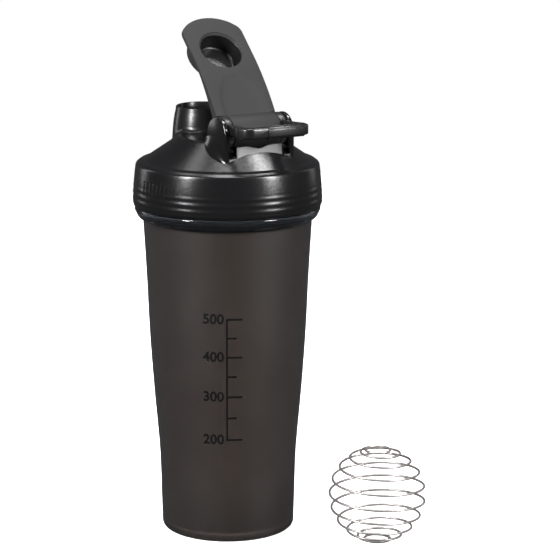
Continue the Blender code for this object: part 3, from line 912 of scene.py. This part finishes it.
def make_flip_cap():
    matt = plastic("cap_grey", (0.019, 0.0183, 0.0181), 0.60, grain=0.012, grain_size=0.3, specular=0.2)
    # Painted shade: the recess's inside gets a darker copy of the cap's plastic; its smoother gloss is real.
    recess_shade = plastic("cap_recess", (0.006, 0.006, 0.006), 0.34, grain=0.01, grain_size=0.3, specular=0.3)
    cap = prism("cap_arm", arm_outline(), -ARM_THICK, 0.0)
    bevel(cap, 0.55, 4, 50)
    slice_mesh(cap, 1, range(-4, 38))
    slice_mesh(cap, 0, range(-14, 15))
    bend_arm(cap)
    plug_at = disc_place(CLOSED_ANGLE - ARM_ANGLE)
    low = -ARM_THICK - PLUG_DEPTH
    under = fillet([(0.0, -1.4, 0), (CAP_SKIRT_OUT_R - 0.3, -1.4, 0), (CAP_SKIRT_OUT_R, -3.0, 0.5),
                    (CAP_SKIRT_LOW_R, -CAP_SKIRT_DEPTH, 0.5), (CAP_SKIRT_IN_R, -CAP_SKIRT_DEPTH, 0.4),
                    (CAP_SKIRT_IN_R, -CAP_CEILING, 0.4), (PLUG_R, -CAP_CEILING, 0.4), (PLUG_LOW_R, low, 0.8),
                    (0.0, low, 0)])
    room = lathe("skirt_room", [(0.0, -CAP_CEILING), (CAP_SKIRT_IN_R + 0.3, -CAP_CEILING),
                                (CAP_SKIRT_IN_R + 0.3, -20.0), (0.0, -20.0)], SMALL_TURN)
    room.data.transform(plug_at)
    boolean(cap, "DIFFERENCE", room)
    plug = lathe("cap_plug", under, SMALL_TURN)
    plug.data.transform(plug_at)
    boolean(cap, "UNION", plug)
    for side in (-1, 1):
        ends = sorted((side * BARREL_HALF, side * (ARM_HALF + 3.0)))
        boolean(cap, "DIFFERENCE", hinge_disc("ring_room", RING_R + 0.5, *ends))
    recess = fillet([(0.0, 3.0, 0), (RECESS_R + 1.6, 3.0, 0), (RECESS_R + 1.1, 0.25, 0),
                     (RECESS_R, -0.9, 1.2), (RECESS_R - 1.0, -RECESS_DEPTH, 1.2),
                     (0.0, -RECESS_DEPTH, 0)], 6)
    cutter = lathe("recess_cutter", recess, SMALL_TURN)
    cutter.data.transform(plug_at)
    boolean(cap, "DIFFERENCE", cutter)
    finish(cap, matt, 28)
    cap.data.materials.append(recess_shade)
    # Faces inside the recess take the darker material: painted shade.
    into_recess = plug_at.inverted()
    for face in cap.data.polygons:
        spot = into_recess @ face.center / MM
        if math.hypot(spot.x, spot.y) < RECESS_R + 0.1 and -RECESS_DEPTH - 0.1 < spot.z < -0.7:
            face.material_index = 1
    barrel = bevel(hinge_disc("cap_barrel", BARREL_R, -BARREL_HALF, BARREL_HALF), 0.3, 2)
    finish(barrel, matt, 35)
    pins = bevel(hinge_disc("cap_pins", PIN_R, -(EAR_OUT - 1.0), EAR_OUT - 1.0, 48), 0.3, 2)
    finish(pins, matt, 35)
    for piece in (cap, barrel, pins):
        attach(piece, "flip_cap")
        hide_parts("flip_cap")


# ---------------------------------------------------------------- carry loop


def loop_outline():
    """The loop seen from above: a broad corner on its left, and a squarer, thicker one on its right."""
    back = HINGE_Y - 4.2
    front = LOOP_FRONT_Y
    inside = front + LOOP_BAR
    outer = fillet([(-RING_OUT, back, 0), (-RING_OUT, -36.0, 6.0), (-LOOP_HALF + 0.6, -42.0, 5.0),
                    (-LOOP_HALF + 3.6, front, 8.0), (0.0, front, 0)], 8)
    outer += fillet([(0.0, front, 0), (LOOP_HALF - 3.2, front, 2.4), (LOOP_HALF - 0.6, front + 1.6, 1.0),
                     (LOOP_HALF + 0.3, front + 6.0, 3.0), (RING_OUT, -37.0, 6.0), (RING_OUT, back, 0)], 8)[1:]
    inner = fillet([(RING_IN, back, 0), (RING_IN, -37.5, 4.0), (RING_IN - 0.6, inside, 2.4),
                    (0.0, inside, 0)], 6)
    inner += fillet([(0.0, inside, 0), (-RING_IN + 0.6, inside, 4.0), (-RING_IN, -37.0, 4.0),
                     (-RING_IN, back, 0)], 6)[1:]
    return outer + inner


def make_thumb_block():
    """The thicker stretch of the loop's front bar, with a fine step along its upper edge."""
    front = LOOP_FRONT_Y
    rear = front + LOOP_BAR - 0.8
    section = fillet([(rear, LOOP_LOW_Z - 0.5, 0.6), (front + 0.4, LOOP_LOW_Z - 0.5, 0.9),
                      (front - 0.45, LOOP_LOW_Z + 0.9, 0.9), (front - 0.45, LOOP_HIGH_Z - 1.3, 0.3),
                      (front - 0.05, LOOP_HIGH_Z - 1.0, 0.15), (front - 0.05, LOOP_HIGH_Z - 0.1, 0.4),
                      (front + 0.7, LOOP_HIGH_Z + 0.75, 0.5), (rear, LOOP_HIGH_Z + 0.75, 0.6)], 4)
    block = prism("loop_block", section[:-1], BLOCK_LEFT, LOOP_HALF - 3.9, ACROSS)
    return bevel(block, 0.35, 3, 60)


def make_carry_loop():
    satin = plastic("loop_black", (0.006, 0.006, 0.0065), 0.27, grain=0.008, grain_size=0.35, wave=0.03)
    ring_satin = plastic("loop_ring", (0.012, 0.012, 0.0125), 0.34, grain=0.01, grain_size=0.3)
    bar = prism("loop_bar", loop_outline(), LOOP_LOW_Z, LOOP_HIGH_Z)
    bevel(bar, 1.3, 5, 55)
    boolean(bar, "UNION", make_thumb_block())
    boolean(bar, "DIFFERENCE", hinge_disc("loop_hole", HOLE_R, -25.0, 25.0, 48))
    finish(bar, satin, 32)
    rings = []
    for side, name in ((-1, "loop_ring_left"), (1, "loop_ring_right")):
        ring = hinge_disc(name, RING_R, *sorted((side * RING_IN, side * RING_OUT)))
        bevel(ring, 0.3, 3)
        boolean(ring, "DIFFERENCE", hinge_disc("ring_hole", HOLE_R, -25.0, 25.0, 48))
        rings.append(finish(ring, ring_satin, 32))
    for piece in [bar] + rings:
        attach(piece, "carry_loop")
        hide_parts("carry_loop")


# ---------------------------------------------------------------- whisk ball


def ball_points():
    """The wire's middle line: a left-handed helix on a sphere, ending in a flat ring at each pole."""
    radius = BALL_R - WIRE_R
    ring = int(BALL_END_TURN * WIRE_STEPS)
    body = int(BALL_TURNS * WIRE_STEPS)
    points = []
    for i in range(-ring, body + ring + 1):
        u = 1.0 - 2.0 * min(max(i / body, 0.0), 1.0)
        latitude = math.radians(BALL_LATITUDE) * (0.8 * u + 0.2 * math.sin(math.pi * u / 2))
        angle = 2 * math.pi * i / WIRE_STEPS
        reach = radius * math.cos(latitude)
        points.append((reach * math.cos(angle), reach * math.sin(angle), radius * math.sin(latitude)))
    return points


def make_whisk_ball():
    low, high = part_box("whisk_ball")
    middle = (low + high) / 2 / MM
    height = (BALL_R - WIRE_R) * math.sin(math.radians(BALL_LATITUDE)) + WIRE_R
    ball = tube("whisk_ball_wire", ball_points(), WIRE_R, 12, (middle.x, middle.y, height))
    ball.data.materials.append(steel("wire_steel"))
    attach(ball, "whisk_ball")
    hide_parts("whisk_ball")


# ---------------------------------------------------------------- stage


def place_camera():
    turn, pitch, yaw, roll = (math.radians(a) for a in (VIEW_ANGLE, CAMERA_PITCH, CAMERA_YAW, CAMERA_ROLL))
    up = Vector((0, 0, 1))
    ahead = Vector((math.sin(turn), math.cos(turn), 0))
    right = Vector((math.cos(turn), -math.sin(turn), 0))
    ahead, right = (ahead * math.cos(yaw) + right * math.sin(yaw),
                    right * math.cos(yaw) - ahead * math.sin(yaw))
    look = ahead * math.cos(pitch) - up * math.sin(pitch)
    top = up * math.cos(pitch) + ahead * math.sin(pitch)
    side = right * math.cos(roll) + top * math.sin(roll)
    top = top * math.cos(roll) - right * math.sin(roll)
    camera = bpy.data.objects.new("camera", bpy.data.cameras.new("camera"))
    bpy.context.scene.collection.objects.link(camera)
    place = Matrix((side, top, -look)).transposed().to_4x4()
    place.translation = Vector((-math.sin(turn) * CAMERA_AWAY, -math.cos(turn) * CAMERA_AWAY,
                                CAMERA_HIGH)) * MM
    camera.matrix_world = place
    camera.data.lens = CAMERA_LENS
    camera.data.sensor_width = 36.0
    bpy.context.scene.camera = camera


def softbox(name, bearing, height, distance, size, power):
    """An area light aimed at the lid, at a bearing in degrees to the right of the camera.

    Its place and size are in metres, and its power in watts.
    """
    turn = math.radians(VIEW_ANGLE - bearing)
    aim = Vector((0, 0, LIGHT_AIM_Z))
    place = Vector((-math.sin(turn) * distance, -math.cos(turn) * distance, height))
    data = bpy.data.lights.new(name, "AREA")
    data.shape = "RECTANGLE"
    data.size, data.size_y = size
    data.energy = power
    light = bpy.data.objects.new(name, data)
    bpy.context.scene.collection.objects.link(light)
    light.location = place
    light.rotation_euler = (aim - place).to_track_quat("-Z", "Y").to_euler()


def light_stage():
    """Studio lights, and a world that is white where it is seen and dim as a light."""
    softbox("strip_left", -52, 0.72, 1.3, (0.22, 0.8), 37)
    softbox("strip_right", 56, 0.68, 1.3, (0.26, 0.85), 34)
    softbox("top_box", 0, 1.5, 0.10, (0.5, 0.6), 12)
    softbox("back_left", -132, 1.5, 0.65, (0.26, 0.26), 1.2)
    softbox("back_right", 128, 1.5, 0.65, (0.24, 0.24), 6.5)
    softbox("rim_left", -124, 0.5, 1.3, (0.25, 0.9), 1.8)
    softbox("rim_right", 128, 0.5, 1.3, (0.25, 0.9), 0.8)
    world = bpy.data.worlds.new("studio")
    bpy.context.scene.world = world
    world.use_nodes = True
    nodes, links = world.node_tree.nodes, world.node_tree.links
    seen = nodes["Background"]
    seen.inputs["Color"].default_value = (1, 1, 1, 1)
    seen.inputs["Strength"].default_value = 1.0
    fill = nodes.new("ShaderNodeBackground")
    fill.inputs["Color"].default_value = (0.97, 0.98, 1.0, 1)
    fill.inputs["Strength"].default_value = 0.07
    path = nodes.new("ShaderNodeLightPath")
    clear = nodes.new("ShaderNodeMath")
    clear.operation = "MAXIMUM"
    links.new(path.outputs["Is Camera Ray"], clear.inputs[0])
    links.new(path.outputs["Is Transmission Ray"], clear.inputs[1])
    mix = nodes.new("ShaderNodeMixShader")
    links.new(clear.outputs["Value"], mix.inputs["Fac"])
    links.new(fill.outputs["Background"], mix.inputs[1])
    links.new(seen.outputs["Background"], mix.inputs[2])
    links.new(mix.outputs["Shader"], nodes["World Output"].inputs["Surface"])


def make_floor():
    half = FLOOR_HALF
    square = [(-half, -half), (half, -half), (half, half), (-half, half)]
    floor = prism("floor", square, FLOOR_LOW_Z, FLOOR_TOP_Z)
    paint = plastic("floor_white", (0.95, 0.95, 0.95), 0.7, tint=0.01)
    shader = paint.node_tree.nodes["Principled BSDF"]
    shader.inputs["Emission Color"].default_value = (1, 1, 1, 1)
    shader.inputs["Emission Strength"].default_value = 0.85
    floor.data.materials.append(paint)
    floor.visible_diffuse = False
    floor.visible_glossy = False


def main():
    for obj in list(bpy.data.objects):
        bpy.data.objects.remove(obj)
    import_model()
    bpy.context.scene.view_settings.view_transform = "Standard"
    place_camera()
    make_cup()
    make_print()
    make_lid()
    make_flip_cap()
    make_carry_loop()
    make_whisk_ball()
    light_stage()
    make_floor()


main()
